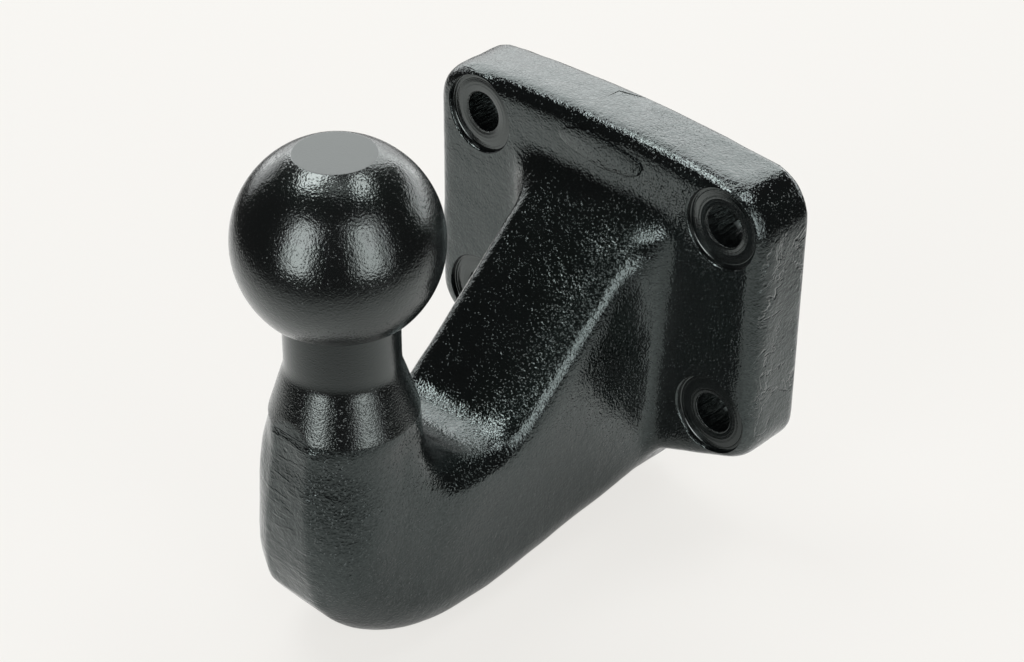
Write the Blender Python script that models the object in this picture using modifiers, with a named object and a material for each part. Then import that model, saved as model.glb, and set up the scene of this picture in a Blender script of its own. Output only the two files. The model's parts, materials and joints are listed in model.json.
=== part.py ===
"""Tractor ball coupling: a 50 mm ball on a forged hook with a four-hole flange.

Metres, +Z up.  The origin is the centre of the bolt pattern on the back face of the flange.
The ball stands in front of the flange, towards -Y.

The real coupling is one drop forging, turned on the ball and neck and spot-faced at the holes.
The model divides it at its own worked zones: ball, neck, hook, arm and flange.  Neighbouring
zones meet face to face on flat planes, so each zone is a closed solid.
"""

import math

import bmesh
import bpy
from mathutils import Matrix, Vector

MM = 0.001

# Ball and neck, turned on one vertical axis
BALL_DIAMETER = 50 * MM
BALL_FLAT_DIAMETER = 19.4 * MM
BALL_HEIGHT = 45.6 * MM
BALL_REACH = 107.2 * MM
NECK_DIAMETER = 28.8 * MM
SHOULDER_TOP = 11.7 * MM
SHOULDER_HEIGHT = 6.2 * MM
COLLAR_TOP_DIAMETER = 34.2 * MM
COLLAR_DIAMETER = 36.6 * MM
POST_TOP = -1.0 * MM

# Hook: the round post, the trimmed strip down its front, and the bend
STRIP_REACH = 17.2 * MM
POST_STRAIGHT = 9.0 * MM
HOOK_HALF_WIDTH = 21.0 * MM
HOOK_FRONT_REACH = 21.4 * MM
HOOK_STRIP_TRIM = 0.9 * MM
BEND_LENGTH = 41.0 * MM
BEND_HEIGHT = 30.0 * MM
THROAT_RADIUS = 12.0 * MM
POST_FORWARD_SHARE = 0.85
POST_WIDER_SHARE = 0.35
BEND_WIDENS_FROM = 0.3
BEND_WIDENS_TO = 0.8

# Arm: the deep web that rises from the throat to the flange
ARM_HALF_WIDTH = 21.0 * MM
ARM_TOP_AT_FLANGE = 23.2 * MM
ARM_TOP_RISE = 0.9
ARM_TOP_BEND_RADIUS = 14.0 * MM
ARM_TOP_EDGE_RADIUS = 6.0 * MM
ARM_BOTTOM_EDGE_RADIUS = 13.0 * MM
ARM_FOOT_RISE = 0.125
ARM_ROOT_BLEND = 9.5 * MM
ARM_ROOT_BLEND_FADE = 20.0 * MM
ARM_ROOT_BLEND_ABOVE_FOOT = 11.9 * MM

# Bolt holes, the flange plate around them, and its foot under the arm
BOLT_SPACING_X = 83 * MM
BOLT_SPACING_Z = 56 * MM
BOLT_HOLE_DIAMETER = 11.0 * MM
SPOT_FACE_DIAMETER = 21.5 * MM
SPOT_FACE_DEPTH = 1.5 * MM
FLANGE_THICKNESS = 19.5 * MM
FLANGE_SIDE_MARGIN = 14.5 * MM
FLANGE_TOP_MARGIN = 12.0 * MM
FLANGE_BOTTOM_MARGIN = 12.8 * MM
FLANGE_SHIFT = 1.7 * MM
FLANGE_CROWN = 2.0 * MM
FLANGE_TOP_CORNER_TURN = 85
FLANGE_BOTTOM_ANGLE = 21.8
FLANGE_CORNER_RADIUS = 12.5 * MM
FLANGE_LOW_CORNER_RADIUS = 10.5 * MM
FLANGE_FRONT_EDGE_RADIUS = 4.5 * MM
FLANGE_BACK_EDGE_RADIUS = 1.5 * MM
FOOT_DROP = 21.1 * MM
FOOT_BLEND_RADIUS = 9.0 * MM
FOOT_EDGE_CLEARANCE = 1.0 * MM

# Fineness of the turned and lofted surfaces
TURNED_STEPS = 64
BALL_STEPS = 26
SHOULDER_STEPS = 6
CORNER_STEPS = 7
POST_STEPS = 4
BEND_STEPS = 12
SLOPE_STEPS = 11
BLEND_STEPS = 6
CROWN_STEPS = 6
FRONT_EDGE_STEPS = 4
BACK_EDGE_STEPS = 2
HOLE_STEPS = 48

# Places worked out from the sizes above
AXIS_Y = -BALL_REACH
FLANGE_FRONT = -FLANGE_THICKNESS
POST_RADIUS = COLLAR_DIAMETER / 2
NECK_RADIUS = NECK_DIAMETER / 2
BALL_RADIUS = BALL_DIAMETER / 2
BALL_SEAT = BALL_HEIGHT - math.sqrt(BALL_RADIUS ** 2 - NECK_RADIUS ** 2)
THROAT_Y = AXIS_Y + POST_RADIUS + THROAT_RADIUS
THROAT_Z = POST_TOP - POST_STRAIGHT
THROAT_FLOOR = THROAT_Z - THROAT_RADIUS
FLANGE_HALF_WIDTH = BOLT_SPACING_X / 2 + FLANGE_SIDE_MARGIN
FLANGE_TOP = BOLT_SPACING_Z / 2 + FLANGE_TOP_MARGIN
FLANGE_BOTTOM = BOLT_SPACING_Z / 2 + FLANGE_BOTTOM_MARGIN
ARM_FOOT_DEPTH = FLANGE_BOTTOM + FOOT_DROP


def clear_scene():
    for old in list(bpy.data.objects):
        bpy.data.objects.remove(old, do_unlink=True)


def new_collection(name):
    collection = bpy.data.collections.new(name)
    bpy.context.scene.collection.children.link(collection)
    return collection


def new_material(name, color, roughness):
    material = bpy.data.materials.new(name)
    material.use_nodes = True
    shader = material.node_tree.nodes["Principled BSDF"]
    shader.inputs["Base Color"].default_value = (*color, 1.0)
    shader.inputs["Roughness"].default_value = roughness
    shader.inputs["Metallic"].default_value = 0.0
    return material


def add_object(name, mesh, collection, material=None):
    obj = bpy.data.objects.new(name, mesh)
    collection.objects.link(obj)
    if material is not None:
        obj.data.materials.append(material)
    return obj


def smooth(obj, degrees=35):
    obj.data.shade_smooth()
    obj.data.set_sharp_from_angle(angle=math.radians(degrees))


def arc(centre, radius, start, end, steps):
    """Points on a circle between two angles in degrees, as (across, up)."""
    points = []
    for step in range(steps + 1):
        angle = math.radians(start + (end - start) * step / steps)
        points.append((centre[0] + radius * math.cos(angle), centre[1] + radius * math.sin(angle)))
    return points


def turn(name, profile, collection, material):
    """A solid of revolution from (radius, height) points that run from top to bottom."""
    mesh = bpy.data.meshes.new(name)
    edges = [(index, index + 1) for index in range(len(profile) - 1)]
    mesh.from_pydata([(radius, 0, height) for radius, height in profile], edges, [])
    obj = add_object(name, mesh, collection, material)
    obj.location = (0, AXIS_Y, 0)
    screw = obj.modifiers.new("turn", "SCREW")
    screw.steps = TURNED_STEPS
    screw.render_steps = TURNED_STEPS
    screw.use_merge_vertices = True
    screw.merge_threshold = 0.00001
    screw.use_smooth_shade = True
    return obj


def cut(target, cutter):
    boolean = target.modifiers.new(cutter.name, "BOOLEAN")
    boolean.operation = "DIFFERENCE"
    boolean.solver = "EXACT"
    boolean.object = cutter


def as_cutter(name, collection):
    """Makes the primitive that was just added a cutter, kept in the cutters' collection."""
    obj = bpy.context.object
    obj.name = name
    obj.hide_render = True
    obj.display_type = "WIRE"
    for owner in list(obj.users_collection):
        owner.objects.unlink(obj)
    collection.objects.link(obj)
    return obj


def shaved_angle(radius, trim):
    """Where a quarter round stops when its far side is shaved by trim, in degrees."""
    return math.degrees(math.asin((radius - trim) / radius))


def section(inner, outer, half_width, inner_radius, outer_radius, trim):
    """A rounded rectangle from an inner to an outer (y, z) point, its outer side shaved by trim."""
    inner = Vector((0, *inner))
    outer = Vector((0, *outer))
    depth = (outer - inner).length
    outward = (outer - inner) / depth
    side = Vector((1, 0, 0))
    shaved = shaved_angle(outer_radius, trim)
    outer_centre = (half_width - outer_radius, depth - outer_radius)
    inner_centre = (half_width - inner_radius, inner_radius)
    half = arc(inner_centre, inner_radius, -90, 0, CORNER_STEPS)
    half += arc(outer_centre, outer_radius, 0, shaved, CORNER_STEPS)
    ring = half + [(-across, along) for across, along in reversed(half)]
    return [inner + side * across + outward * along for across, along in ring]


def loft(name, rings, collection, material):
    """A closed solid through rings of equally many points, capped at both ends."""
    shape = bmesh.new()
    rows = [[shape.verts.new(point) for point in ring] for ring in rings]
    for near, far in zip(rows, rows[1:]):
        for index, vert in enumerate(near):
            last = index - 1
            shape.faces.new((near[last], vert, far[index], far[last]))
    shape.faces.new(list(reversed(rows[0])))
    shape.faces.new(rows[-1])
    bmesh.ops.recalc_face_normals(shape, faces=shape.faces)
    mesh = bpy.data.meshes.new(name)
    shape.to_mesh(mesh)
    shape.free()
    obj = add_object(name, mesh, collection, material)
    smooth(obj)
    return obj


def blend(start, end, share):
    return start + (end - start) * share


def ease(share):
    return share * share * (3 - 2 * share)


def underside(y):
    return -ARM_FOOT_DEPTH - ARM_FOOT_RISE * (FLANGE_FRONT - y)


def bend_reach(angle):
    """Distance from the throat's centre to the outside of the bend, at an angle below -Y."""
    across = math.cos(angle)
    down = math.sin(angle)
    front = THROAT_Y - (AXIS_Y - HOOK_FRONT_REACH)
    bottom = THROAT_Z - underside(THROAT_Y)
    if across > 0 and front * down / across < bottom - BEND_HEIGHT:
        return front / across
    ray = Vector((across / BEND_LENGTH, down / BEND_HEIGHT))
    centre = Vector((front / BEND_LENGTH - 1, bottom / BEND_HEIGHT - 1))
    along = ray.dot(centre)
    gap = centre.length_squared - 1
    reach = (along + math.sqrt(along ** 2 - ray.length_squared * gap)) / ray.length_squared
    if reach * across > front - BEND_LENGTH:
        return reach
    return bottom / down


def post_rings():
    """Level sections from the round top of the post down to the height of the throat."""
    rings = []
    for step in range(POST_STEPS):
        share = step / POST_STEPS
        height = blend(POST_TOP, THROAT_Z, share)
        front = blend(POST_RADIUS, HOOK_FRONT_REACH, POST_FORWARD_SHARE * share)
        width = blend(POST_RADIUS, HOOK_HALF_WIDTH, POST_WIDER_SHARE * share)
        trim = blend(POST_RADIUS - STRIP_REACH, HOOK_STRIP_TRIM, share)
        inner = (AXIS_Y + POST_RADIUS, height)
        outer = (AXIS_Y - front, height)
        rings.append(section(inner, outer, width, POST_RADIUS, POST_RADIUS, trim))
    return rings


def bend_rings():
    """Sections fanned about the throat's centre, from level to upright."""
    rings = []
    throat = Vector((THROAT_Y, THROAT_Z))
    for step in range(BEND_STEPS + 1):
        share = step / BEND_STEPS
        angle = math.radians(90 * share)
        toward = Vector((-math.cos(angle), -math.sin(angle)))
        reach = bend_reach(angle)
        if step == 0:
            reach = THROAT_Y - AXIS_Y + blend(POST_RADIUS, HOOK_FRONT_REACH, POST_FORWARD_SHARE)
        widening = ease(min(1, max(0, (share - BEND_WIDENS_FROM) / (BEND_WIDENS_TO - BEND_WIDENS_FROM))))
        width = blend(POST_RADIUS, HOOK_HALF_WIDTH, blend(POST_WIDER_SHARE, 1, widening))
        inner_radius = blend(POST_RADIUS, ARM_TOP_EDGE_RADIUS, ease(share))
        outer_radius = blend(POST_RADIUS, ARM_BOTTOM_EDGE_RADIUS, ease(share))
        inner = throat + toward * THROAT_RADIUS
        outer = throat + toward * reach
        rings.append(section(inner, outer, width, inner_radius, outer_radius, HOOK_STRIP_TRIM))
    return rings


def arm_top(y):
    """Height of the arm's upper face: throat floor, upward bend, slope, then the blend."""
    slope = math.atan(ARM_TOP_RISE)
    line = ARM_TOP_AT_FLANGE - ARM_TOP_RISE * (FLANGE_FRONT - y)
    corner = FLANGE_FRONT - (ARM_TOP_AT_FLANGE - THROAT_FLOOR) / ARM_TOP_RISE
    tangent = ARM_TOP_BEND_RADIUS * math.tan(slope / 2)
    bend_start = corner - tangent
    root_y = FLANGE_FRONT - ARM_ROOT_BLEND
    root_z = ARM_TOP_AT_FLANGE - ARM_TOP_RISE * ARM_ROOT_BLEND + ARM_ROOT_BLEND / math.cos(slope)
    if y <= bend_start:
        return THROAT_FLOOR
    if y < corner + tangent * math.cos(slope):
        across = y - bend_start
        return THROAT_FLOOR + ARM_TOP_BEND_RADIUS - math.sqrt(ARM_TOP_BEND_RADIUS ** 2 - across ** 2)
    if y > root_y + ARM_ROOT_BLEND * math.sin(slope):
        return root_z - math.sqrt(max(0, ARM_ROOT_BLEND ** 2 - (y - root_y) ** 2))
    return line


def arm_stations():
    """Places along the arm: even through the throat and the slope, fine in the root blend."""
    root_y = FLANGE_FRONT - ARM_ROOT_BLEND
    stations = [blend(THROAT_Y, root_y, step / SLOPE_STEPS) for step in range(SLOPE_STEPS)]
    for step in range(BLEND_STEPS + 1):
        stations.append(root_y + ARM_ROOT_BLEND * math.sin(math.radians(90 * step / BLEND_STEPS)))
    return stations


def arm_rings():
    """Upright sections from the throat to the flange, widening into the root blend."""
    rings = []
    root_y = FLANGE_FRONT - ARM_ROOT_BLEND
    for y in arm_stations():
        across = max(0, y - root_y)
        flare = ARM_ROOT_BLEND - math.sqrt(max(0, ARM_ROOT_BLEND ** 2 - across ** 2))
        ring = section(
            (y, arm_top(y)), (y, underside(y)), ARM_HALF_WIDTH,
            ARM_TOP_EDGE_RADIUS, ARM_BOTTOM_EDGE_RADIUS, HOOK_STRIP_TRIM,
        )
        for point in ring:
            above_foot = point.z + ARM_FOOT_DEPTH - ARM_ROOT_BLEND_ABOVE_FOOT
            share = min(1, max(0, above_foot / ARM_ROOT_BLEND_FADE))
            point.x += math.copysign(flare * ease(share), point.x) * min(1, abs(point.x) / ARM_HALF_WIDTH)
        rings.append(ring)
    return rings


def half_outline(half_width):
    """One side of the flange in front view, as (x, z) points from under the foot to the top."""
    slope = math.radians(FLANGE_BOTTOM_ANGLE)
    low = Vector((half_width - FLANGE_LOW_CORNER_RADIUS, FLANGE_LOW_CORNER_RADIUS - FLANGE_BOTTOM))
    top = (half_width - FLANGE_CORNER_RADIUS, FLANGE_TOP - FLANGE_CORNER_RADIUS)
    foot = Vector((ARM_HALF_WIDTH - ARM_BOTTOM_EDGE_RADIUS, ARM_BOTTOM_EDGE_RADIUS - ARM_FOOT_DEPTH))
    outward = Vector((math.sin(slope), -math.cos(slope)))
    back = Vector((-math.cos(slope), -math.sin(slope)))
    below = low + outward * (FLANGE_LOW_CORNER_RADIUS + FOOT_BLEND_RADIUS) - foot
    apart = ARM_BOTTOM_EDGE_RADIUS + FOOT_BLEND_RADIUS
    along = -below.dot(back) - math.sqrt(below.dot(back) ** 2 - below.length_squared + apart ** 2)
    hollow = foot + below + back * along
    meeting = math.degrees(math.atan2(hollow.y - foot.y, hollow.x - foot.x))
    shaved = shaved_angle(ARM_BOTTOM_EDGE_RADIUS, HOOK_STRIP_TRIM)
    half = arc(foot, ARM_BOTTOM_EDGE_RADIUS, -shaved, meeting, CORNER_STEPS)
    half += arc(hollow, FOOT_BLEND_RADIUS, 180 + meeting, 90 + FLANGE_BOTTOM_ANGLE, CORNER_STEPS)[1:]
    half += arc(low, FLANGE_LOW_CORNER_RADIUS, FLANGE_BOTTOM_ANGLE - 90, 0, CORNER_STEPS)
    half += arc(top, FLANGE_CORNER_RADIUS, 0, FLANGE_TOP_CORNER_TURN, CORNER_STEPS)
    for step in range(1, CROWN_STEPS + 1):
        across = 1 - step / CROWN_STEPS
        half.append((top[0] * across, FLANGE_TOP + FLANGE_CROWN * (1 - across ** 2)))
    return half


def flange_outline():
    """The whole outline: the drilled pattern sits a little right of the forging's middle."""
    right = half_outline(FLANGE_HALF_WIDTH - FLANGE_SHIFT)
    left = half_outline(FLANGE_HALF_WIDTH + FLANGE_SHIFT)
    return right + [(-x, z) for x, z in reversed(left[:-1])]


def plate_from_outline(name, outline, collection, material):
    """A flat curve, filled and extruded to the flange's thickness, made a mesh."""
    curve = bpy.data.curves.new(name, "CURVE")
    curve.dimensions = "2D"
    curve.fill_mode = "BOTH"
    curve.extrude = FLANGE_THICKNESS / 2
    spline = curve.splines.new("POLY")
    spline.points.add(len(outline) - 1)
    for point, (x, z) in zip(spline.points, outline):
        point.co = (x, z, 0, 1)
    spline.use_cyclic_u = True
    drawn = bpy.data.objects.new(name + "_outline", curve)
    collection.objects.link(drawn)
    drawn.location = (0, -FLANGE_THICKNESS / 2, 0)
    drawn.rotation_euler = (math.radians(90), 0, 0)
    bpy.context.view_layer.update()
    evaluated = drawn.evaluated_get(bpy.context.evaluated_depsgraph_get())
    mesh = bpy.data.meshes.new_from_object(evaluated)
    mesh.name = name
    shape = bmesh.new()
    shape.from_mesh(mesh)
    bmesh.ops.transform(shape, matrix=drawn.matrix_world, verts=shape.verts)
    bmesh.ops.remove_doubles(shape, verts=shape.verts, dist=0.00001)
    bmesh.ops.dissolve_limit(shape, angle_limit=math.radians(0.5), verts=shape.verts, edges=shape.edges)
    shape.to_mesh(mesh)
    shape.free()
    bpy.data.objects.remove(drawn, do_unlink=True)
    return add_object(name, mesh, collection, material)


def round_edges(obj, at_y, radius, segments, keep_clear=0):
    """Rounds the rim of the face at a given Y, outside a half-width that is kept clear."""
    shape = bmesh.new()
    shape.from_mesh(obj.data)
    rim = []
    for edge in shape.edges:
        level = all(abs(vert.co.y - at_y) < 0.0001 for vert in edge.verts)
        outside = all(abs(vert.co.x) > keep_clear or vert.co.z > 0 for vert in edge.verts)
        if level and outside and edge.calc_face_angle(0) > math.radians(60):
            rim.append(edge)
    bmesh.ops.bevel(
        shape, geom=rim, offset=radius, segments=segments, profile=0.5, affect="EDGES",
        clamp_overlap=False, offset_type="OFFSET",
    )
    bmesh.ops.recalc_face_normals(shape, faces=shape.faces)
    shape.to_mesh(obj.data)
    shape.free()


def bolt_places():
    for side in (-1, 1):
        for level in (-1, 1):
            yield side * BOLT_SPACING_X / 2, level * BOLT_SPACING_Z / 2


def make_ball(collection, material):
    flat = BALL_FLAT_DIAMETER / 2
    start = 90 - math.degrees(math.asin(flat / BALL_RADIUS))
    end = -math.degrees(math.acos(NECK_RADIUS / BALL_RADIUS))
    curve = arc((0, BALL_HEIGHT), BALL_RADIUS, start, end, BALL_STEPS)
    profile = [(0, curve[0][1])] + curve + [(0, curve[-1][1])]
    return turn("ball", profile, collection, material)


def make_neck(collection, material, cutters):
    shoulder_end = SHOULDER_TOP - SHOULDER_HEIGHT
    collar_top = COLLAR_TOP_DIAMETER / 2
    profile = [(0, BALL_SEAT), (NECK_RADIUS, BALL_SEAT), (NECK_RADIUS, SHOULDER_TOP)]
    for step in range(1, SHOULDER_STEPS + 1):
        share = step / SHOULDER_STEPS
        radius = blend(NECK_RADIUS, collar_top, (ease(share) + share) / 2)
        profile.append((radius, blend(SHOULDER_TOP, shoulder_end, share)))
    profile += [(POST_RADIUS, POST_TOP), (0, POST_TOP)]
    neck = turn("neck", profile, collection, material)
    depth = POST_RADIUS - STRIP_REACH
    bpy.ops.mesh.primitive_cube_add(size=1)
    slab = as_cutter("strip_cutter", cutters)
    slab.data.transform(Matrix.Diagonal((POST_RADIUS * 2, depth * 2, SHOULDER_TOP * 2, 1)))
    slab.location = (0, AXIS_Y - STRIP_REACH - depth, POST_TOP)
    cut(neck, slab)
    return neck


def make_flange(collection, material, cutters):
    flange = plate_from_outline("flange", flange_outline(), collection, material)
    under_arm = ARM_HALF_WIDTH + FOOT_EDGE_CLEARANCE
    round_edges(flange, FLANGE_FRONT, FLANGE_FRONT_EDGE_RADIUS, FRONT_EDGE_STEPS, under_arm)
    round_edges(flange, 0, FLANGE_BACK_EDGE_RADIUS, BACK_EDGE_STEPS)
    for number, (x, z) in enumerate(bolt_places(), start=1):
        for kind, diameter, depth in (
            ("bolt_hole", BOLT_HOLE_DIAMETER, FLANGE_THICKNESS * 2),
            ("spot_face", SPOT_FACE_DIAMETER, SPOT_FACE_DEPTH),
        ):
            bpy.ops.mesh.primitive_cylinder_add(
                vertices=HOLE_STEPS, radius=diameter / 2, depth=depth * 2,
            )
            tool = as_cutter(f"{kind}_cutter_{number}", cutters)
            tool.rotation_euler = (math.radians(90), 0, 0)
            tool.location = (x, FLANGE_FRONT, z)
            cut(flange, tool)
    smooth(flange)
    return flange


clear_scene()
coupling = new_collection("tractor_ball_coupling")
cutting = new_collection("cutters")
ball_paint = new_material("ball_paint", (0.012, 0.013, 0.013), 0.32)
turned_paint = new_material("turned_paint", (0.014, 0.015, 0.015), 0.38)
forged_paint = new_material("forged_paint", (0.010, 0.011, 0.011), 0.42)

make_ball(coupling, ball_paint)
make_neck(coupling, turned_paint, cutting)
hook_rings = post_rings() + bend_rings()
loft("hook", hook_rings, coupling, forged_paint)
loft("arm", arm_rings(), coupling, forged_paint)
make_flange(coupling, forged_paint, cutting)
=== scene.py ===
"""Looks of the tractor ball coupling: gloss black paint over one drop forging.

The skin of the forging, the drilled seats, the turned neck and the ball follow each other in
the order in which the real part is made.  Lengths are in metres.
"""

import json
import math

import bpy
from mathutils import Matrix, Vector

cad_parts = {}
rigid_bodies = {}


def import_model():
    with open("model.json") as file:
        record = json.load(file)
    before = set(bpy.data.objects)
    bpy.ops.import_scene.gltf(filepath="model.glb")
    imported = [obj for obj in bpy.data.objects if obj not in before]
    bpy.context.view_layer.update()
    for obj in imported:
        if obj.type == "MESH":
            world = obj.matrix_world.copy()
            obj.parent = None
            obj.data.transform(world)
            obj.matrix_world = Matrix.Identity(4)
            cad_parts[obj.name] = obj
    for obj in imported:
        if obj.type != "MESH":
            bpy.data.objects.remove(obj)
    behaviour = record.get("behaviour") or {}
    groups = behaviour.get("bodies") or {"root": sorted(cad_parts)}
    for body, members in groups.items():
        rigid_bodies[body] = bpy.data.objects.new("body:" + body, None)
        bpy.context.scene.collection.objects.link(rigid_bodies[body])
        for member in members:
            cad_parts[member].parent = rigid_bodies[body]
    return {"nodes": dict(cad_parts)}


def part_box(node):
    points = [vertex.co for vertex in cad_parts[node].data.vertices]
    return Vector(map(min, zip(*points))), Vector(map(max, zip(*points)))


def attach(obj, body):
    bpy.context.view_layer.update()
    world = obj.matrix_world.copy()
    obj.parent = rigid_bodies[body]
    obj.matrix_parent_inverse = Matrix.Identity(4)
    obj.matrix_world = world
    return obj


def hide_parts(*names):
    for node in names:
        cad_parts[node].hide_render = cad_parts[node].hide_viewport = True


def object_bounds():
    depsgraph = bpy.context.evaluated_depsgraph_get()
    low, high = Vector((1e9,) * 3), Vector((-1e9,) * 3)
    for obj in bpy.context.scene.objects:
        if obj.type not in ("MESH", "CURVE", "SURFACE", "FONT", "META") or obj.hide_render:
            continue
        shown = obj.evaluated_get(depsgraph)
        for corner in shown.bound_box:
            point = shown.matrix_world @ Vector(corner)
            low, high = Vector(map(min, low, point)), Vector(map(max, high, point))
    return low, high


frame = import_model()
cad_low, cad_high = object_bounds()


# Forged body.  Hook, arm and flange are one piece of carbon steel, struck hot between two dies.
# The skin is the scaled, shot-blasted surface of the blank, with soft inner corners.  It starts
# from the three solids of the frame, and covers their joints.
MM = 0.001
BOLT_X = 41.5 * MM
BOLT_Z = 28.0 * MM
PLUG_RADIUS = 11.5 * MM
SKIN_GRID = 0.8 * MM
ROUNDED_BELOW = math.radians(16.5)
POST_RADIUS = 18.3 * MM
POST_TOP = -1.0 * MM
STRIP_REACH = 17.2 * MM
SIDE_LEAN = 0.45 * MM
STRIP_LEAN = 1.5 * MM
FRONT_LEAN = 1.6 * MM
EDGE_WEAR = 0.09

flange_low, flange_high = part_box("flange")
throat_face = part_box("hook")[1].y
ball_low, ball_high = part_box("ball")
flange_front = flange_low.y
ball_axis = (ball_low.y + ball_high.y) / 2


def select_only(*objects):
    """Selects these objects alone, the first one active, with nothing picked inside them."""
    if bpy.context.object and bpy.context.object.mode != "OBJECT":
        bpy.ops.object.mode_set(mode="OBJECT")
    bpy.ops.object.select_all(action="DESELECT")
    for obj in objects:
        obj.select_set(True)
    bpy.context.view_layer.objects.active = objects[0]


def edit(obj, action="SELECT"):
    select_only(obj)
    bpy.ops.object.mode_set(mode="EDIT")
    bpy.ops.mesh.select_all(action=action)


def settle(obj):
    """Applies every modifier, in order."""
    select_only(obj)
    for modifier in list(obj.modifiers):
        bpy.ops.object.modifier_apply(modifier=modifier.name)


def combine(target, others, operation):
    """Joins the others to the target or cuts them from it, and removes them."""
    for other in others:
        boolean = target.modifiers.new("combine", "BOOLEAN")
        boolean.operation = operation
        boolean.solver = "EXACT"
        boolean.object = other
    settle(target)
    for other in others:
        bpy.data.objects.remove(other, do_unlink=True)


def blank_from(node, name, levels):
    """A copy of a solid of the frame as merged quads, with its loft facets rounded out."""
    blank = bpy.data.objects.new(name, frame["nodes"][node].data.copy())
    bpy.context.scene.collection.objects.link(blank)
    edit(blank)
    bpy.ops.mesh.customdata_custom_splitnormals_clear()
    bpy.ops.mesh.remove_doubles(threshold=0.01 * MM)
    bpy.ops.mesh.tris_convert_to_quads(face_threshold=math.radians(30), shape_threshold=math.radians(30))
    if levels:
        bpy.ops.mesh.select_all(action="DESELECT")
        bpy.ops.mesh.select_mode(type="EDGE")
        bpy.ops.mesh.edges_select_sharp(sharpness=ROUNDED_BELOW)
        bpy.ops.transform.edge_crease(value=1)
        bpy.ops.object.mode_set(mode="OBJECT")
        rounding = blank.modifiers.new("rounding", "SUBSURF")
        rounding.levels = rounding.render_levels = levels
        settle(blank)
    else:
        bpy.ops.object.mode_set(mode="OBJECT")
    return blank


body = blank_from("hook", "forged_body", 2)
arm_blank = blank_from("arm", "arm_blank", 2)
flange_blank = blank_from("flange", "flange_blank", 0)
plugs = []
for x in (-BOLT_X, BOLT_X):
    for z in (-BOLT_Z, BOLT_Z):
        select_only(body)
        bpy.ops.object.select_all(action="DESELECT")
        bpy.ops.mesh.primitive_cylinder_add(
            vertices=64, radius=PLUG_RADIUS, depth=-flange_front,
            location=(x, flange_front / 2, z), rotation=(math.radians(90), 0, 0),
        )
        plugs.append(bpy.context.object)
bpy.ops.object.select_all(action="DESELECT")
bpy.ops.mesh.primitive_cone_add(
    vertices=96, radius1=POST_RADIUS + 0.2 * MM, radius2=POST_RADIUS - 0.8 * MM, depth=8 * MM,
    location=(0, ball_axis, POST_TOP + 1 * MM),
)
stub = bpy.context.object
edit(stub)
bpy.ops.mesh.bisect(
    plane_co=(0, ball_axis - STRIP_REACH, 0), plane_no=(0, -1, 0), use_fill=True, clear_outer=True,
)
bpy.ops.object.mode_set(mode="OBJECT")
select_only(body, arm_blank, flange_blank, stub, *plugs)
bpy.ops.object.join()

grid = body.modifiers.new("skin", "REMESH")
grid.mode = "VOXEL"
grid.voxel_size = SKIN_GRID
settle(body)
edit(body, "DESELECT")
bpy.ops.object.mode_set(mode="OBJECT")
lowest = min(body.data.vertices, key=lambda vert: vert.co.y)
lowest.select = True
bpy.ops.object.mode_set(mode="EDIT")
bpy.ops.mesh.select_mode(type="VERT")
bpy.ops.mesh.select_linked()
bpy.ops.mesh.select_all(action="INVERT")
bpy.ops.mesh.delete(type="VERT")
bpy.ops.object.mode_set(mode="OBJECT")


def fade(value, start, end):
    share = min(1, max(0, (value - start) / (end - start)))
    return share * share * (3 - 2 * share)


def near_root(point):
    """How much a point is in the corner between the arm's flank and the flange."""
    beside = fade(abs(point.x), 16 * MM, 20 * MM) * (1 - fade(abs(point.x), 29 * MM, 35 * MM))
    along = fade(point.y, flange_front - 14 * MM, flange_front - 6 * MM)
    front = 1 - fade(point.y, flange_front + 1 * MM, flange_front + 3 * MM)
    height = 1 - fade(point.z, 14 * MM, 24 * MM)
    return beside * along * front * height


def soft_share(point):
    """How much the forging is worn round, on the flange's front edges and the arm's right edge."""
    if point.y > flange_front + 9 * MM:
        return 0
    if point.y > flange_front - 2 * MM:
        outer = max(abs(point.x) / flange_high.x, abs(point.z) / flange_high.z)
        near_front = 1 - fade(point.y, flange_front + 5 * MM, flange_front + 9 * MM)
        return EDGE_WEAR * fade(outer, 0.8, 0.88) * near_front
    beyond_hook = fade(point.y, throat_face - 4 * MM, throat_face + 6 * MM)
    return beyond_hook * fade(point.x, 2 * MM, 8 * MM) * fade(point.z, -38 * MM, -27 * MM)


def skin_share(point):
    """The forged skin moves, and the milled back and the turned end of the post stay."""
    back = 1 - fade(point.y, -1.6 * MM, -0.6 * MM)
    post_top = 1 - fade(point.z, -3.0 * MM, -1.2 * MM) if point.y < throat_face - 20 * MM else 1
    return back * post_top


def under_collar(point):
    """How far the post is drawn in below the collar, so that it leans evenly down to its belly."""
    across, ahead = point.x, ball_axis - point.y
    if math.hypot(across, ahead) > 26 * MM or point.y > ball_axis + 14 * MM:
        return 0
    turn = math.degrees(math.atan2(across, ahead))
    drop = POST_TOP - point.z
    start = fade(drop, 0, 9 * MM)
    side = SIDE_LEAN * (1 - fade(drop, 8 * MM, 20 * MM))
    strip = STRIP_LEAN * start * (1 - fade(drop, 9 * MM, 28 * MM))
    front = FRONT_LEAN * start * (1 - fade(drop, 9 * MM, 30 * MM)) * (1 - fade(turn, 95, 125))
    on_left = 1 - fade(turn, -46, -20)
    on_right = fade(turn, 18, 26)
    return on_left * side + (1 - on_left - on_right) * strip + on_right * front


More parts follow.
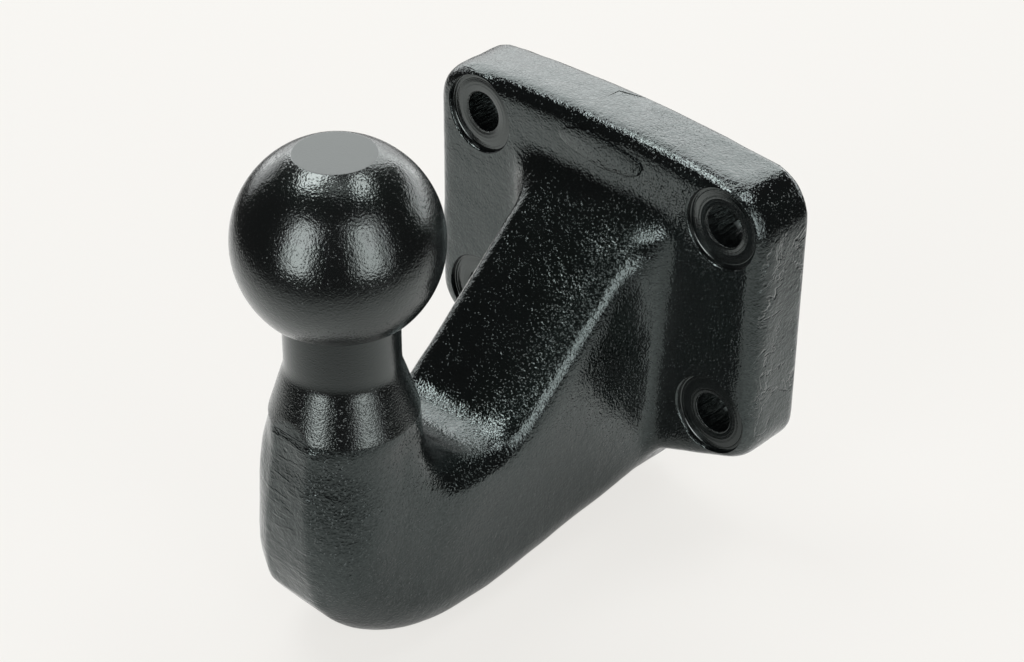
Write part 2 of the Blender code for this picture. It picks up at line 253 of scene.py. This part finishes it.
shares = [
    (body.vertex_groups.new(name=name), share)
    for name, share in (("root", near_root), ("soft", soft_share), ("skin", skin_share))
]
for vert in body.data.vertices:
    inward = Vector((-vert.co.x, ball_axis - vert.co.y, 0))
    if vert.co.y < ball_axis + 14 * MM and vert.co.z > POST_TOP - 30 * MM:
        vert.co += inward.normalized() * under_collar(vert.co)
    for group, share in shares:
        weight = share(vert.co)
        if weight > 0.01:
            group.add([vert.index], weight, "REPLACE")
for name, group, times in (("root_fillet", "root", 60), ("worn_edges", "soft", 200), ("soft_edges", "", 7)):
    relax = body.modifiers.new(name, "SMOOTH")
    relax.factor = 0.5
    relax.iterations = times
    relax.vertex_group = group
for name, size, height in (("die_wear", 16 * MM, 0.42 * MM), ("hammered", 6 * MM, 0.16 * MM)):
    texture = bpy.data.textures.new(name, "CLOUDS")
    texture.noise_scale = size
    texture.noise_depth = 1
    waves = body.modifiers.new(name, "DISPLACE")
    waves.texture = texture
    waves.texture_coords = "LOCAL"
    waves.strength = height
    waves.mid_level = 0.55
    waves.vertex_group = "skin"
settle(body)
edit(body, "DESELECT")
bpy.ops.object.mode_set(mode="OBJECT")
for vert in body.data.vertices:
    vert.select = vert.co.y < ball_axis + 19 * MM and vert.co.z > POST_TOP - 4 * MM
bpy.ops.object.mode_set(mode="EDIT")
bpy.ops.mesh.bisect(
    plane_co=(0, ball_axis, POST_TOP), plane_no=(0, 0, 1), use_fill=True, clear_outer=True,
)
bpy.ops.object.mode_set(mode="OBJECT")


# Marks on the blank.  The dies leave a long low pad on the front face above the arm, and one small
# patch of the top edge is ground flat where the parting flash was trimmed.
PAD_OUTLINE = (
    (-12.4, 34.6), (-10.4, 36.4), (-6.6, 37.6), (-3.2, 38.2), (5.0, 37.4), (13.2, 36.4), (15.2, 35.6),
    (15.7, 34.3), (14.6, 32.2), (12.4, 30.9), (7.0, 30.0), (1.9, 29.4), (-4.0, 30.4), (-9.6, 31.8),
    (-11.9, 33.0),
)
PAD_HEIGHT = 0.35 * MM
GROUND_PATCH = ((-7.0, -7.5), (-6.8, -3.3), (2.7, -0.9), (8.5, -9.4))
GROUND_DEPTH = 0.14 * MM


def plate(outline, middle, placed, push):
    """A flat outline, its corners taken in turn round a middle, pushed out; left in edit mode."""
    bpy.ops.object.select_all(action="DESELECT")
    bpy.ops.mesh.primitive_circle_add(
        vertices=len(outline), radius=5 * MM, fill_type="NGON", location=(0, 0, 0),
    )
    block = bpy.context.object
    corners = sorted(block.data.vertices, key=lambda vert: math.atan2(vert.co.y, vert.co.x))
    around = sorted(outline, key=lambda spot: math.atan2(spot[1] - middle[1], spot[0] - middle[0]))
    for vert, spot in zip(corners, around):
        vert.co = placed(spot)
    edit(block)
    bpy.ops.mesh.extrude_region_move(TRANSFORM_OT_translate={"value": push})
    return block


def face_outward():
    bpy.ops.mesh.select_all(action="SELECT")
    bpy.ops.mesh.normals_make_consistent(inside=False)
    bpy.ops.object.mode_set(mode="OBJECT")


select_only(body)
pad = plate(
    PAD_OUTLINE, (1.5, 34), lambda spot: (spot[0] * MM, flange_front + 2 * MM, spot[1] * MM),
    (0, -2 * MM - PAD_HEIGHT, 0),
)
bpy.ops.mesh.inset(thickness=0.5 * MM, depth=0.12 * MM)
face_outward()
combine(body, [pad], "UNION")

heights = [
    vert.co.z for vert in body.data.vertices
    if abs(vert.co.x) < 5 * MM and -7 * MM < vert.co.y < -4 * MM and vert.co.z > 0
]
ground_level = sum(heights) / len(heights) - GROUND_DEPTH
wheel = plate(
    GROUND_PATCH, (0, -5), lambda spot: (spot[0] * MM, spot[1] * MM, ground_level), (0, 0, 3 * MM),
)
face_outward()
combine(body, [wheel], "DIFFERENCE")


# Bolt seats.  Each of the four holes is drilled through the flange and spot-faced from the
# front, which leaves a flat ring with fine tool circles and a lip where it breaks the skin.
SEAT_STEPS = 96
SEAT_PROFILE = (
    (12.6, 3.0), (11.7, 0.4), (11.25, -0.02), (10.98, -0.25), (10.87, -0.6), (10.8, -1.42),
    (10.6, -1.56), (9.9, -1.5), (9.7, -1.56), (9.5, -1.5), (6.05, -1.5), (5.85, -1.58), (5.55, -1.9),
    (5.5, -2.6), (5.5, -19.0), (6.1, -19.7), (6.1, -22.0),
)


def turned(name, profile, steps, centre, along):
    """A closed turned solid from (radius, height) points, its axis up or out of the flange."""
    level = (1, 1, 0) if along == "Z" else (1, 0, 1)
    turn = (0, 0, 0) if along == "Z" else (math.radians(90), 0, 0)
    toward = Vector((0, 0, 1)) if along == "Z" else Vector((0, -1, 0))
    bpy.ops.object.select_all(action="DESELECT")
    first_radius, first_height = profile[0]
    bpy.ops.mesh.primitive_circle_add(
        vertices=steps, radius=first_radius * MM, fill_type="NGON",
        location=centre + toward * first_height * MM, rotation=turn,
    )
    obj = bpy.context.object
    obj.name = name
    obj.data.name = name
    bpy.ops.object.transform_apply(location=True, rotation=True, scale=True)
    edit(obj)
    for (radius, height), (next_radius, next_height) in zip(profile, profile[1:]):
        place = centre + toward * next_height * MM
        bpy.ops.mesh.extrude_region_move(
            TRANSFORM_OT_translate={"value": toward * (next_height - height) * MM}
        )
        size = next_radius / radius
        scale = (size, size, 1) if along == "Z" else (size, 1, size)
        bpy.ops.transform.resize(value=scale, center_override=place)
    face_outward()
    return obj


seats = []
for x in (-BOLT_X, BOLT_X):
    for z in (-BOLT_Z, BOLT_Z):
        seats.append(turned("seat", SEAT_PROFILE, SEAT_STEPS, Vector((x, flange_front, z)), "Y"))
combine(body, seats, "DIFFERENCE")


def new_node(material, kind, values=(), **settings):
    made = material.node_tree.nodes.new(kind)
    for name, value in settings.items():
        setattr(made, name, value)
    for socket, value in values:
        made.inputs[socket].default_value = value
    return made


def wire(material, source, output, target, socket):
    material.node_tree.links.new(source.outputs[output], target.inputs[socket])


GLOSS_TINT = (0.9, 1.0, 0.975)
PAINT_IOR = 1.7


def gloss_paint(name, colour, roughness, ior=PAINT_IOR):
    """A glossy paint, with its shader and the coordinates that its marks are laid out on."""
    material = bpy.data.materials.new(name)
    material.use_nodes = True
    shader = material.node_tree.nodes["Principled BSDF"]
    shader.inputs["Base Color"].default_value = (*colour, 1)
    shader.inputs["Roughness"].default_value = roughness
    shader.inputs["IOR"].default_value = ior
    shader.inputs["Specular Tint"].default_value = (*GLOSS_TINT, 1)
    shader.inputs["Metallic"].default_value = 0
    place = new_node(material, "ShaderNodeTexCoord")
    return material, shader, place


def add_bump(material, height, output, distance, before=None):
    """Relief of a height over the relief that came before it."""
    bump = new_node(material, "ShaderNodeBump", (("Distance", distance), ("Strength", 1.0)))
    wire(material, height, output, bump, "Height")
    if before is not None:
        wire(material, before, "Normal", bump, "Normal")
    return bump


def noise_on(material, place, size, detail, rough, distortion=0.0):
    """Noise whose lumps are about as large as the size."""
    texture = new_node(
        material, "ShaderNodeTexNoise",
        (("Scale", 1 / size), ("Detail", detail), ("Roughness", rough), ("Distortion", distortion)),
    )
    wire(material, place, "Object", texture, "Vector")
    return texture


def cells_on(material, place, size):
    """Distance from scattered points, for dots and pits."""
    cells = new_node(material, "ShaderNodeTexVoronoi", (("Scale", 1 / size), ("Randomness", 1.0)))
    wire(material, place, "Object", cells, "Vector")
    return cells


def streaks_on(material, place, stretch, slant, size, rough):
    """Noise drawn out along an axis by a scale below 1."""
    drawn = new_node(material, "ShaderNodeMapping", (("Scale", stretch), ("Rotation", (0, slant, 0))))
    wire(material, place, "Object", drawn, "Vector")
    texture = new_node(
        material, "ShaderNodeTexNoise", (("Scale", 1 / size), ("Detail", 2.0), ("Roughness", rough)),
    )
    wire(material, drawn, "Vector", texture, "Vector")
    return texture


def rings_along(material, source, output, size):
    """Uneven tool circles that follow one measure, such as a radius or a height."""
    texture = new_node(
        material, "ShaderNodeTexNoise", (("Scale", 1 / size), ("Detail", 2.0)), noise_dimensions="1D",
    )
    wire(material, source, output, texture, "W")
    return texture


def axes_of(material, place, output):
    """The X, Y and Z of a point or of the direction that a face looks in."""
    axes = new_node(material, "ShaderNodeSeparateXYZ")
    wire(material, place, output, axes, "Vector")
    return axes


def product(material, first, first_output, second, second_output):
    times = new_node(material, "ShaderNodeMath", operation="MULTIPLY")
    wire(material, first, first_output, times, 0)
    wire(material, second, second_output, times, 1)
    return times


def shaped(material, source, output, low, high, to_low=0.0, to_high=1.0):
    """A smooth ramp of a value, from to_low at low to to_high at high."""
    ramp = new_node(
        material, "ShaderNodeMapRange",
        (("From Min", low), ("From Max", high), ("To Min", to_low), ("To Max", to_high)),
        interpolation_type="SMOOTHSTEP",
    )
    wire(material, source, output, ramp, "Value")
    return ramp


PAINT_BLACK = (0.0022, 0.0026, 0.0027)
BARE_STEEL = (0.66, 0.75, 0.74)
FORGED_TINT = (0.85, 1.0, 0.98)
SEAT_PAINT_REACH = 10.85 * MM

forged_paint, shader, place = gloss_paint("forged_paint", PAINT_BLACK, 0.2)
lumps = noise_on(forged_paint, place, 2.4 * MM, 2.0, 0.5)
low_bump = add_bump(forged_paint, lumps, "Fac", 0.15 * MM)
pits = cells_on(forged_paint, place, 4.2 * MM)
pit_depth = shaped(forged_paint, pits, "Distance", 0.05, 0.2)
pit_bump = add_bump(forged_paint, pit_depth, "Result", 0.06 * MM, low_bump)

facing = axes_of(forged_paint, place, "Normal")
where = axes_of(forged_paint, place, "Object")
to_front = shaped(forged_paint, facing, "Y", -0.86, -0.95)
on_post = shaped(forged_paint, where, "Y", -112 * MM, -118 * MM)
on_strip = product(forged_paint, to_front, "Result", on_post, "Result")
shear = streaks_on(forged_paint, place, (0.17, 0.5, 1.0), 0.05, 1.7 * MM, 0.55)
torn = shaped(forged_paint, shear, "Fac", 0.55, 0.66)
strip_marks = product(forged_paint, torn, "Result", on_strip, "Value")
strip_bump = add_bump(forged_paint, strip_marks, "Value", 0.05 * MM, pit_bump)

veins = noise_on(forged_paint, place, 9 * MM, 4.0, 0.55, 0.6)
vein = new_node(forged_paint, "ShaderNodeMath", ((1, 0.5),), operation="SUBTRACT")
wire(forged_paint, veins, "Fac", vein, 0)
vein_away = new_node(forged_paint, "ShaderNodeMath", operation="ABSOLUTE")
wire(forged_paint, vein, "Value", vein_away, 0)
lap_edge = shaped(forged_paint, vein_away, "Value", 0.004, 0.03, 1.0, 0.0)
patches = noise_on(forged_paint, place, 12 * MM, 1.0, 0.5)
lap_share = shaped(forged_paint, patches, "Fac", 0.49, 0.57)
sideways = shaped(forged_paint, facing, "X", 0.75, 0.92)
on_flange = shaped(forged_paint, where, "Y", -20 * MM, -18 * MM)
side_laps = product(forged_paint, lap_share, "Result", sideways, "Result")
laps = product(forged_paint, lap_edge, "Result", side_laps, "Value")
flange_laps = product(forged_paint, laps, "Value", on_flange, "Result")
lap_bump = add_bump(forged_paint, flange_laps, "Value", -0.18 * MM, strip_bump)

dots = cells_on(forged_paint, place, 0.8 * MM)
dot_height = shaped(forged_paint, dots, "Distance", 0.3, 0.05)
dot_patches = noise_on(forged_paint, place, 5 * MM, 2.0, 0.6)
dot_share = shaped(forged_paint, dot_patches, "Fac", 0.36, 0.6, 0.15, 1.0)
right_half = shaped(forged_paint, where, "X", 1 * MM, 12 * MM, 0.0, 1.3)
on_arm = shaped(forged_paint, where, "X", 22 * MM, 30 * MM, 1.0, 0.25)
more_dots = product(forged_paint, right_half, "Result", on_arm, "Result")
dot_total = new_node(forged_paint, "ShaderNodeMath", operation="ADD")
wire(forged_paint, dot_share, "Result", dot_total, 0)
wire(forged_paint, more_dots, "Value", dot_total, 1)
some_dots = product(forged_paint, dot_height, "Result", dot_total, "Value")
dot_bump = add_bump(forged_paint, some_dots, "Value", 0.055 * MM, lap_bump)
upward = shaped(forged_paint, facing, "Z", 0.1, 0.35)
worn_share = product(forged_paint, more_dots, "Value", upward, "Result")
worn_noise = noise_on(forged_paint, place, 0.9 * MM, 2.0, 0.6)
worn_marks = product(forged_paint, worn_noise, "Fac", worn_share, "Value")
worn_bump = add_bump(forged_paint, worn_marks, "Value", 0.11 * MM, dot_bump)
grain = noise_on(forged_paint, place, 0.65 * MM, 1.5, 0.55)
grain_bump = add_bump(forged_paint, grain, "Fac", 0.125 * MM, worn_bump)
wire(forged_paint, grain_bump, "Normal", shader, "Normal")
# Painted shade of the grain: the reflection's tint follows the grain noise, from 0.74 of the forged tint in
# its low points up to the full tint.
grain_shade_tint = new_node(forged_paint, "ShaderNodeValToRGB")
for stop, level, share in zip(grain_shade_tint.color_ramp.elements, (0.36, 0.6), (0.74, 1.0)):
    stop.position = level
    stop.color = (*(share * tint for tint in FORGED_TINT), 1)
wire(forged_paint, grain, "Fac", grain_shade_tint, "Fac")
wire(forged_paint, grain_shade_tint, "Color", shader, "Specular Tint")
dull = noise_on(forged_paint, place, 7 * MM, 3, 0.6)
dull_share = shaped(forged_paint, dull, "Fac", 0.35, 0.7, 0.055, 0.11)
wire(forged_paint, dull_share, "Result", shader, "Roughness")

seat_paint, shader, place = gloss_paint("seat_paint", PAINT_BLACK, 0.14)
folded = new_node(seat_paint, "ShaderNodeVectorMath", operation="ABSOLUTE")
wire(seat_paint, place, "Object", folded, 0)
from_bolt = new_node(seat_paint, "ShaderNodeVectorMath", ((1, (BOLT_X, 0, BOLT_Z)),), operation="SUBTRACT")
wire(seat_paint, folded, "Vector", from_bolt, 0)
flat = new_node(seat_paint, "ShaderNodeVectorMath", ((1, (1, 0, 1)),), operation="MULTIPLY")
wire(seat_paint, from_bolt, "Vector", flat, 0)
reach = new_node(seat_paint, "ShaderNodeVectorMath", operation="LENGTH")
wire(seat_paint, flat, "Vector", reach, 0)
rings = rings_along(seat_paint, reach, "Value", 0.55 * MM)
ring_bump = add_bump(seat_paint, rings, "Fac", 0.045 * MM)
seat_grain = noise_on(seat_paint, place, 0.6 * MM, 2, 0.5)
seat_bump = add_bump(seat_paint, seat_grain, "Fac", 0.03 * MM, ring_bump)
drilled = streaks_on(seat_paint, place, (1.0, 0.07, 1.0), 0, 0.9 * MM, 0.6)
in_bore = shaped(seat_paint, reach, "Value", 5.9 * MM, 5.6 * MM)
streaks = product(seat_paint, drilled, "Fac", in_bore, "Result")
bore_bump = add_bump(seat_paint, streaks, "Value", 1.1 * MM, seat_bump)
wire(seat_paint, bore_bump, "Normal", shader, "Normal")
wall = axes_of(seat_paint, place, "Normal")
lower_wall = shaped(seat_paint, wall, "Z", 0.25, 0.55)
depth = axes_of(seat_paint, place, "Object")
deep = shaped(seat_paint, depth, "Y", -10 * MM, -7 * MM)
scraped = shaped(seat_paint, drilled, "Fac", 0.47, 0.55)
scraped_deep = product(seat_paint, scraped, "Result", deep, "Result")
scraped_wall = product(seat_paint, scraped_deep, "Value", lower_wall, "Result")
bare = product(seat_paint, scraped_wall, "Value", in_bore, "Result")
bare_colour = new_node(seat_paint, "ShaderNodeValToRGB")
bare_colour.color_ramp.elements[0].color = (*PAINT_BLACK, 1)
bare_colour.color_ramp.elements[1].color = (*BARE_STEEL, 1)
wire(seat_paint, bare, "Value", bare_colour, "Fac")
wire(seat_paint, bare_colour, "Color", shader, "Base Color")
wire(seat_paint, bare, "Value", shader, "Metallic")

body.data.materials.clear()
body.data.materials.append(forged_paint)
body.data.materials.append(seat_paint)
for face in body.data.polygons:
    out = Vector((abs(face.center.x) - BOLT_X, 0, abs(face.center.z) - BOLT_Z)).length
    face.material_index = 1 if out < SEAT_PAINT_REACH and face.center.y > flange_front + 0.5 * MM else 0
select_only(body)
bpy.ops.object.shade_smooth_by_angle(angle=math.radians(38))
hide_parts("hook", "arm", "flange")
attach(body, "root")


# Neck and collar.  They are turned in one chucking with the ball, from the top of the post, and
# the trimmed strip of the blank runs out through the front of the collar as a flat.
NECK_STEPS = 160
NECK_PROFILE = (
    (18.05, -1.0), (18.28, -0.8), (18.22, -0.55), (17.98, 0.2), (17.65, 1.25), (17.02, 3.2),
    (16.36, 5.3), (15.5, 8.0), (14.98, 9.6), (14.62, 10.7), (14.35, 11.6), (14.18, 12.5), (14.1, 13.6),
    (14.06, 15.0), (14.06, 27.4), (13.4, 27.6),
)

neck = turned("neck", NECK_PROFILE, NECK_STEPS, Vector((0, ball_axis, 0)), "Z")
edit(neck)
bpy.ops.mesh.bisect(
    plane_co=(0, ball_axis - STRIP_REACH, 0), plane_no=(0, -1, 0), use_fill=True, clear_outer=True,
)
bpy.ops.object.mode_set(mode="OBJECT")

turned_paint, shader, place = gloss_paint("turned_paint", PAINT_BLACK, 0.16)
height = axes_of(turned_paint, place, "Object")
rough_turned = shaped(turned_paint, height, "Z", 13.5 * MM, 9.5 * MM, 0.4, 1.0)
tool_rings = rings_along(turned_paint, height, "Z", 0.42 * MM)
peel = noise_on(turned_paint, place, 0.42 * MM, 1.5, 0.6)
tool_depth = product(turned_paint, tool_rings, "Fac", rough_turned, "Result")
peel_depth = product(turned_paint, peel, "Fac", rough_turned, "Result")
tool_bump = add_bump(turned_paint, tool_depth, "Value", 0.015 * MM)
peel_bump = add_bump(turned_paint, peel_depth, "Value", 0.085 * MM, tool_bump)
dots = cells_on(turned_paint, place, 0.62 * MM)
dot_height = shaped(turned_paint, dots, "Distance", 0.36, 0.05)
dot_depth = product(turned_paint, dot_height, "Result", rough_turned, "Result")
dot_bump = add_bump(turned_paint, dot_depth, "Value", 0.05 * MM, peel_bump)
wire(turned_paint, dot_bump, "Normal", shader, "Normal")
neck.data.materials.append(turned_paint)
neck.data.materials.append(forged_paint)
for face in neck.data.polygons:
    face.material_index = 1 if face.center.y < ball_axis - STRIP_REACH + 0.01 * MM else 0
select_only(neck)
bpy.ops.object.shade_smooth_by_angle(angle=math.radians(32))
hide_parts("neck")
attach(neck, "root")


# Ball.  A 50 mm ball turned and polished before painting, with a small flat faced on its top and
# its lower edge relieved at the neck.  Its paint is smoother than on the skin, with orange peel.
BALL_STEPS = 192
BALL_RINGS = 72
BALL_RADIUS = 25.0
BALL_CENTRE = 45.6
FLAT_RADIUS = 9.7
RELIEF_ANGLE = -41.5

flat_angle = math.degrees(math.acos((FLAT_RADIUS + 0.25) / BALL_RADIUS))
ball_profile = [(13.2, 26.6), (18.4, 28.84), (18.62, 28.95)]
for step in range(BALL_RINGS + 1):
    angle = math.radians(RELIEF_ANGLE + (flat_angle - RELIEF_ANGLE) * step / BALL_RINGS)
    ball_profile.append((BALL_RADIUS * math.cos(angle), BALL_CENTRE + BALL_RADIUS * math.sin(angle)))
top = ball_profile[-1][1]
ball_profile += [
    (FLAT_RADIUS + 0.08, top + 0.06), (FLAT_RADIUS - 0.1, top + 0.08), (FLAT_RADIUS - 0.4, top + 0.08),
]
ball = turned("ball", ball_profile, BALL_STEPS, Vector((0, ball_axis, 0)), "Z")

ball_paint, shader, place = gloss_paint("ball_paint", PAINT_BLACK, 0.17)
peel = noise_on(ball_paint, place, 0.55 * MM, 1.5, 0.5)
wide_peel = noise_on(ball_paint, place, 2.4 * MM, 1, 0.5)
wide_bump = add_bump(ball_paint, wide_peel, "Fac", 0.06 * MM)
dots = cells_on(ball_paint, place, 0.85 * MM)
dot_height = shaped(ball_paint, dots, "Distance", 0.32, 0.05)
dot_bump = add_bump(ball_paint, dot_height, "Result", 0.035 * MM, wide_bump)
ball_bump = add_bump(ball_paint, peel, "Fac", 0.075 * MM, dot_bump)
wire(ball_paint, ball_bump, "Normal", shader, "Normal")

flat_paint, shader, place = gloss_paint("flat_paint", PAINT_BLACK, 0.42)
flat_grain = noise_on(flat_paint, place, 0.5 * MM, 2, 0.5)
flat_bump = add_bump(flat_paint, flat_grain, "Fac", 0.02 * MM)
wire(flat_paint, flat_bump, "Normal", shader, "Normal")
ball.data.materials.append(ball_paint)
ball.data.materials.append(flat_paint)
for face in ball.data.polygons:
    face.material_index = 1 if face.normal.z > 0.99 and face.center.z > (top + 0.05) * MM else 0
select_only(ball)
bpy.ops.object.shade_smooth_by_angle(angle=math.radians(32))
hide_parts("ball")
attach(ball, "root")


# Studio.  A pale table under the part, long soft lamps round it and the photograph's camera.
TABLE_RADIUS = 0.42
TABLE_COLOUR = (0.79, 0.785, 0.77)
BACKGROUND = (0.921, 0.905, 0.871)
SHEET_GLOW = 0.96
SHEET_IN_CAMERA = 0.85
SHEET_IN_MIRROR = 0.2
# Painted shade: in mirrors the table fades to near black from RIM_START to RIM_END away from the part,
# standing in for a dark room.
RIM_START = 0.14
RIM_END = 0.41
RIM_SHADE = 0.92

bpy.ops.object.select_all(action="DESELECT")
bpy.ops.mesh.primitive_circle_add(
    vertices=96, radius=TABLE_RADIUS, fill_type="NGON", location=(0, -0.05, cad_low[2]),
)
table = bpy.context.object
table.name = "table"
bpy.ops.object.transform_apply(location=True, rotation=True, scale=True)
table_top, shader, place = gloss_paint("table_top", TABLE_COLOUR, 0.9, 1.45)
shader.inputs["Specular IOR Level"].default_value = 0
paths = new_node(table_top, "ShaderNodeLightPath")
mirrored = new_node(table_top, "ShaderNodeMath", operation="MAXIMUM")
wire(table_top, paths, "Is Glossy Ray", mirrored, 0)
wire(table_top, paths, "Is Transmission Ray", mirrored, 1)
faint = new_node(table_top, "ShaderNodeMath", ((1, SHEET_IN_MIRROR),), operation="MULTIPLY")
wire(table_top, mirrored, "Value", faint, 0)
share = new_node(table_top, "ShaderNodeMath", ((1, SHEET_IN_CAMERA),), operation="MULTIPLY_ADD")
wire(table_top, paths, "Is Camera Ray", share, 0)
wire(table_top, faint, "Value", share, 2)
sheet = new_node(
    table_top, "ShaderNodeEmission", (("Color", (*BACKGROUND, 1)), ("Strength", SHEET_GLOW)),
)
mixed = new_node(table_top, "ShaderNodeMixShader")
wire(table_top, share, "Value", mixed, 0)
wire(table_top, shader, "BSDF", mixed, 1)
wire(table_top, sheet, "Emission", mixed, 2)
# Painted shade in reflections: glossy and transmission rays see the table darken with distance from the
# part, mixed toward a black emission.
from_part = new_node(
    table_top, "ShaderNodeVectorMath", ((1, (-0.06, 0, cad_low[2])),), operation="DISTANCE",
)
wire(table_top, place, "Object", from_part, 0)
rim = shaped(table_top, from_part, "Value", RIM_START, RIM_END, 0.0, RIM_SHADE)
dim = product(table_top, rim, "Result", mirrored, "Value")
edge = new_node(table_top, "ShaderNodeEmission", (("Color", (0, 0, 0, 1)), ("Strength", 0.0)))
faded = new_node(table_top, "ShaderNodeMixShader")
wire(table_top, dim, "Value", faded, 0)
wire(table_top, mixed, "Shader", faded, 1)
wire(table_top, edge, "Emission", faded, 2)
wire(table_top, faded, "Shader", table_top.node_tree.nodes["Material Output"], "Surface")
table.data.materials.append(table_top)

MIDDLE = Vector((0, -0.07, 0.02))
for name, azimuth, elevation, distance, width, height, glow in (
    ("front_lamp", 5, 18, 1.3, 32, 52, 2.2),
    ("front_core", 6, 17, 1.25, 18, 46, 3.9),
    ("right_lamp", 81, 19, 1.3, 38, 58, 1.7),
    ("right_core", 79, 17, 1.25, 17, 46, 3.0),
    ("high_left_lamp", -78, 67, 1.3, 26, 20, 9.5),
    ("high_right_lamp", 147, 69, 1.3, 24, 12, 7.5),
    ("zenith_lamp", 40, 86, 1.3, 14, 14, 1.3),
    ("back_lamp", 224, 34, 1.3, 56, 42, 3.3),
    ("low_back_lamp", 176, 10, 1.3, 46, 22, 2.4),
    ("low_left_lamp", 262, 12, 1.3, 24, 26, 1.6),
    ("far_lamp", 226, 3, 1.3, 64, 18, 1.5),
):
    turn = math.radians(azimuth)
    rise = math.radians(elevation)
    toward = Vector((math.sin(turn) * math.cos(rise), -math.cos(turn) * math.cos(rise), math.sin(rise)))
    light = bpy.data.lights.new(name, "AREA")
    light.shape = "RECTANGLE"
    light.size = 2 * distance * math.tan(math.radians(width / 2))
    light.size_y = 2 * distance * math.tan(math.radians(height / 2))
    light.energy = glow * math.pi * light.size * light.size_y
    lamp = bpy.data.objects.new(name, light)
    bpy.context.scene.collection.objects.link(lamp)
    lamp.location = MIDDLE + toward * distance
    lamp.rotation_euler = toward.to_track_quat("Z", "Y").to_euler()
    lamp.visible_camera = False

world = bpy.data.worlds.new("room")
bpy.context.scene.world = world
world.use_nodes = True
room = world.node_tree.nodes["Background"]
room.inputs["Color"].default_value = (*BACKGROUND, 1)
paths = new_node(world, "ShaderNodeLightPath")
mirrored = new_node(world, "ShaderNodeMath", operation="MAXIMUM")
wire(world, paths, "Is Glossy Ray", mirrored, 0)
wire(world, paths, "Is Transmission Ray", mirrored, 1)
faint = new_node(world, "ShaderNodeMath", ((1, 0.03), (2, 0.02)), operation="MULTIPLY_ADD")
wire(world, mirrored, "Value", faint, 0)
brightness = new_node(world, "ShaderNodeMath", operation="MAXIMUM")
wire(world, paths, "Is Camera Ray", brightness, 0)
wire(world, faint, "Value", brightness, 1)
wire(world, brightness, "Value", room, "Strength")

AZIMUTH = math.radians(43.77)
ELEVATION = math.radians(33.89)
ROLL = math.radians(0.43)
FOCAL_LENGTH = 86.8
CAMERA_PLACE = (0.36108, -0.42640, 0.34359)
back = Vector((
    math.sin(AZIMUTH) * math.cos(ELEVATION), -math.cos(AZIMUTH) * math.cos(ELEVATION), math.sin(ELEVATION),
))
right = Vector((math.cos(AZIMUTH), math.sin(AZIMUTH), 0))
up = back.cross(right)
turned_right = right * math.cos(ROLL) + up * math.sin(ROLL)
turned_up = up * math.cos(ROLL) - right * math.sin(ROLL)
lens = bpy.data.cameras.new("camera")
lens.sensor_width = 36
lens.lens = FOCAL_LENGTH
camera = bpy.data.objects.new("camera", lens)
bpy.context.scene.collection.objects.link(camera)
camera.matrix_world = (
    Matrix.Translation(CAMERA_PLACE)
    @ Matrix((turned_right, turned_up, back)).transposed().to_4x4()
)
bpy.context.scene.camera = camera
bpy.context.scene.view_settings.view_transform = "Standard"
